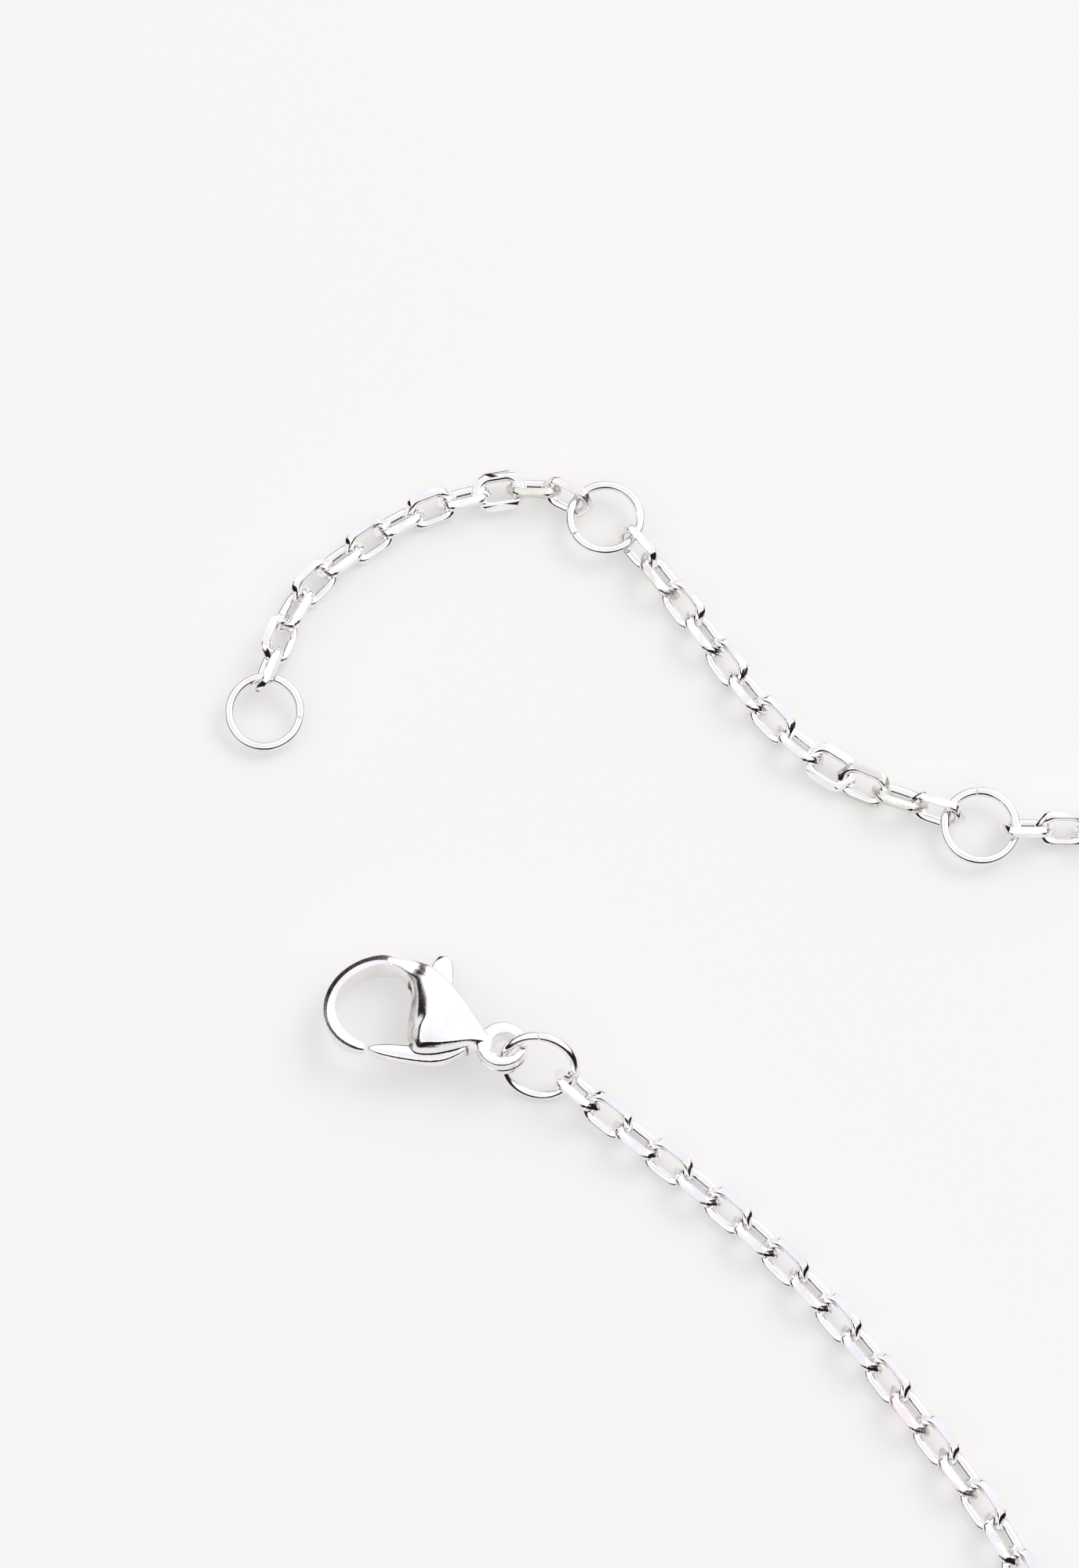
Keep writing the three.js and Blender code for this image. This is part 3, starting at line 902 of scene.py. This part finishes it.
def metal(name, color, rough, grain, dent):
    """Polished metal with clouds in its tone and gloss, and with pits."""
    material, nodes, shader = new_material(name)
    shader.inputs["Metallic"].default_value = 1
    coordinates = nodes.add("ShaderNodeTexCoord").outputs["Object"]
    cloud = nodes.noise(coordinates, CLOUD["scale"], CLOUD["detail"])
    dark = tuple(part * CLOUD["dark_share"] for part in color)
    tone = nodes.ramp(cloud, [(CLOUD["dark_at"], dark), (CLOUD["bright_at"], color)])
    nodes.link(tone, shader.inputs["Base Color"])
    gloss = nodes.math("MULTIPLY_ADD", cloud, rough, rough / 2)
    nodes.link(gloss, shader.inputs["Roughness"])
    bump = nodes.add("ShaderNodeBump")
    bump.inputs["Strength"].default_value = dent
    bump.inputs["Distance"].default_value = PIT_DEPTH
    nodes.link(nodes.noise(coordinates, grain, PIT_DETAIL), bump.inputs["Height"])
    nodes.link(bump.outputs[0], shader.inputs["Normal"])
    return material


# Studio

# The floor glows a little, which keeps the shadows as faint as the photo's. It reaches two
# metres each way.
FLOOR_REACH = 2
FLOOR_COLOR = (0.44, 0.43, 0.415, 1)
FLOOR_GLOW = (1, 1, 0.99, 1)
FLOOR_GLOW_STRENGTH = 0.42
FLOOR_ROUGHNESS = 0.85
FLOOR_SPECULAR = 0.2

# The studio is white, with a dark zone just over the table. The zone has a least height all
# round and rises further to the front, left and right, each a direction over the ground.
# Its edge is ragged by a noise, and MIDWAY is the middle of both the noise and the edge.
ZONE_LOW = 0.03
ZONE_FRONT = {"way": (-0.26, -0.97), "rise": 0.35}
ZONE_LEFT = {"way": (-0.87, 0.5), "rise": 0.28}
ZONE_RIGHT = {"way": (0.71, -0.71), "rise": 0.35}
ZONE_EDGE = {"scale": 3.5, "detail": 4, "ragged": 0.2, "steepness": 8}
MIDWAY = 0.5
ZONE_TONES = [(0.0, (0.012, 0.011, 0.012)), (0.4, (0.2, 0.13, 0.13)), (1.0, (1, 1, 1))]
SKY_TONES = [(0.0, (1.2, 1.2, 1.19)), (0.8, (1.15, 1.15, 1.16)), (0.95, (0.98, 0.965, 1.03))]
BACKDROP = (0.9, 0.9, 0.89, 1)

# The key light, in metres and watts.
KEY_SIZE = 0.7
KEY_POWER = 4
KEY_PLACE = (0.55, 0.5, 0.8)


def floor():
    material, _, shader = new_material("pale_floor")
    shader.inputs["Base Color"].default_value = FLOOR_COLOR
    shader.inputs["Emission Color"].default_value = FLOOR_GLOW
    shader.inputs["Emission Strength"].default_value = FLOOR_GLOW_STRENGTH
    shader.inputs["Roughness"].default_value = FLOOR_ROUGHNESS
    shader.inputs["Specular IOR Level"].default_value = FLOOR_SPECULAR
    bm = bmesh.new()
    bmesh.ops.create_grid(bm, x_segments=1, y_segments=1, size=FLOOR_REACH)
    ground = mesh_object("floor", bm, [material])


def studio_tones(nodes):
    """The studio's tone in each direction."""
    direction = nodes.add("ShaderNodeTexCoord").outputs["Generated"]
    split = nodes.add("ShaderNodeSeparateXYZ")
    nodes.link(direction, split.inputs[0])
    x, y, z = split.outputs
    level = nodes.math("SQRT", nodes.math("ADD", nodes.squared(x), nodes.squared(y)))
    front = nodes.squared(nodes.facing(x, y, level, ZONE_FRONT["way"]))
    left = nodes.facing(x, y, level, ZONE_LEFT["way"])
    right = nodes.facing(x, y, level, ZONE_RIGHT["way"])
    limit = nodes.math("MULTIPLY_ADD", front, ZONE_FRONT["rise"], ZONE_LOW)
    limit = nodes.math("MULTIPLY_ADD", left, ZONE_LEFT["rise"], limit)
    limit = nodes.math("MULTIPLY_ADD", right, ZONE_RIGHT["rise"], limit)
    noise = nodes.noise(direction, ZONE_EDGE["scale"], ZONE_EDGE["detail"])
    ragged = nodes.math("SUBTRACT", noise, MIDWAY)
    height = nodes.math("MULTIPLY_ADD", ragged, ZONE_EDGE["ragged"], z)
    over = nodes.math("SUBTRACT", height, limit)
    above = nodes.math("MULTIPLY_ADD", over, ZONE_EDGE["steepness"], MIDWAY, clamp=True)
    product = nodes.add("ShaderNodeVectorMath", operation="MULTIPLY")
    nodes.link(nodes.ramp(above, ZONE_TONES), product.inputs[0])
    nodes.link(nodes.ramp(z, SKY_TONES), product.inputs[1])
    return product.outputs[0]


def world():
    """The studio lights the piece and shows in its metal, before a plain backdrop."""
    made = bpy.data.worlds.new("studio")
    bpy.context.scene.world = made
    nodes = Nodes(made)
    output = nodes.add("ShaderNodeOutputWorld")
    studio = nodes.add("ShaderNodeBackground")
    nodes.link(studio_tones(nodes), studio.inputs["Color"])
    backdrop = nodes.add("ShaderNodeBackground")
    backdrop.inputs["Color"].default_value = BACKDROP
    path = nodes.add("ShaderNodeLightPath")
    choose = nodes.add("ShaderNodeMixShader")
    share, first, second = choose.inputs
    nodes.link(path.outputs["Is Camera Ray"], share)
    nodes.link(studio.outputs[0], first)
    nodes.link(backdrop.outputs[0], second)
    nodes.link(choose.outputs[0], output.inputs[0])


def key_light():
    data = bpy.data.lights.new("key", "AREA")
    data.shape = "DISK"
    data.size = KEY_SIZE
    data.energy = KEY_POWER
    light = bpy.data.objects.new("key", data)
    light.location = KEY_PLACE
    light.rotation_euler = (-light.location).to_track_quat("-Z", "Y").to_euler()
    bpy.context.scene.collection.objects.link(light)


def necklace():
    finish = {name: metal(name, **look) for name, look in FINISHES.items()}
    chains([finish[name] for name in CHAIN_FINISHES])
    for name, ring in RINGS.items():
        jump_ring(name, ring, finish["silver_wire"])
    clasp_body(finish["silver_cast"])
    clasp_lever(finish["silver_cast"])
    clasp_pin(finish["steel_rivet"])


necklace()
floor()
world()
key_light()
bpy.context.scene.view_settings.view_transform = "Standard"
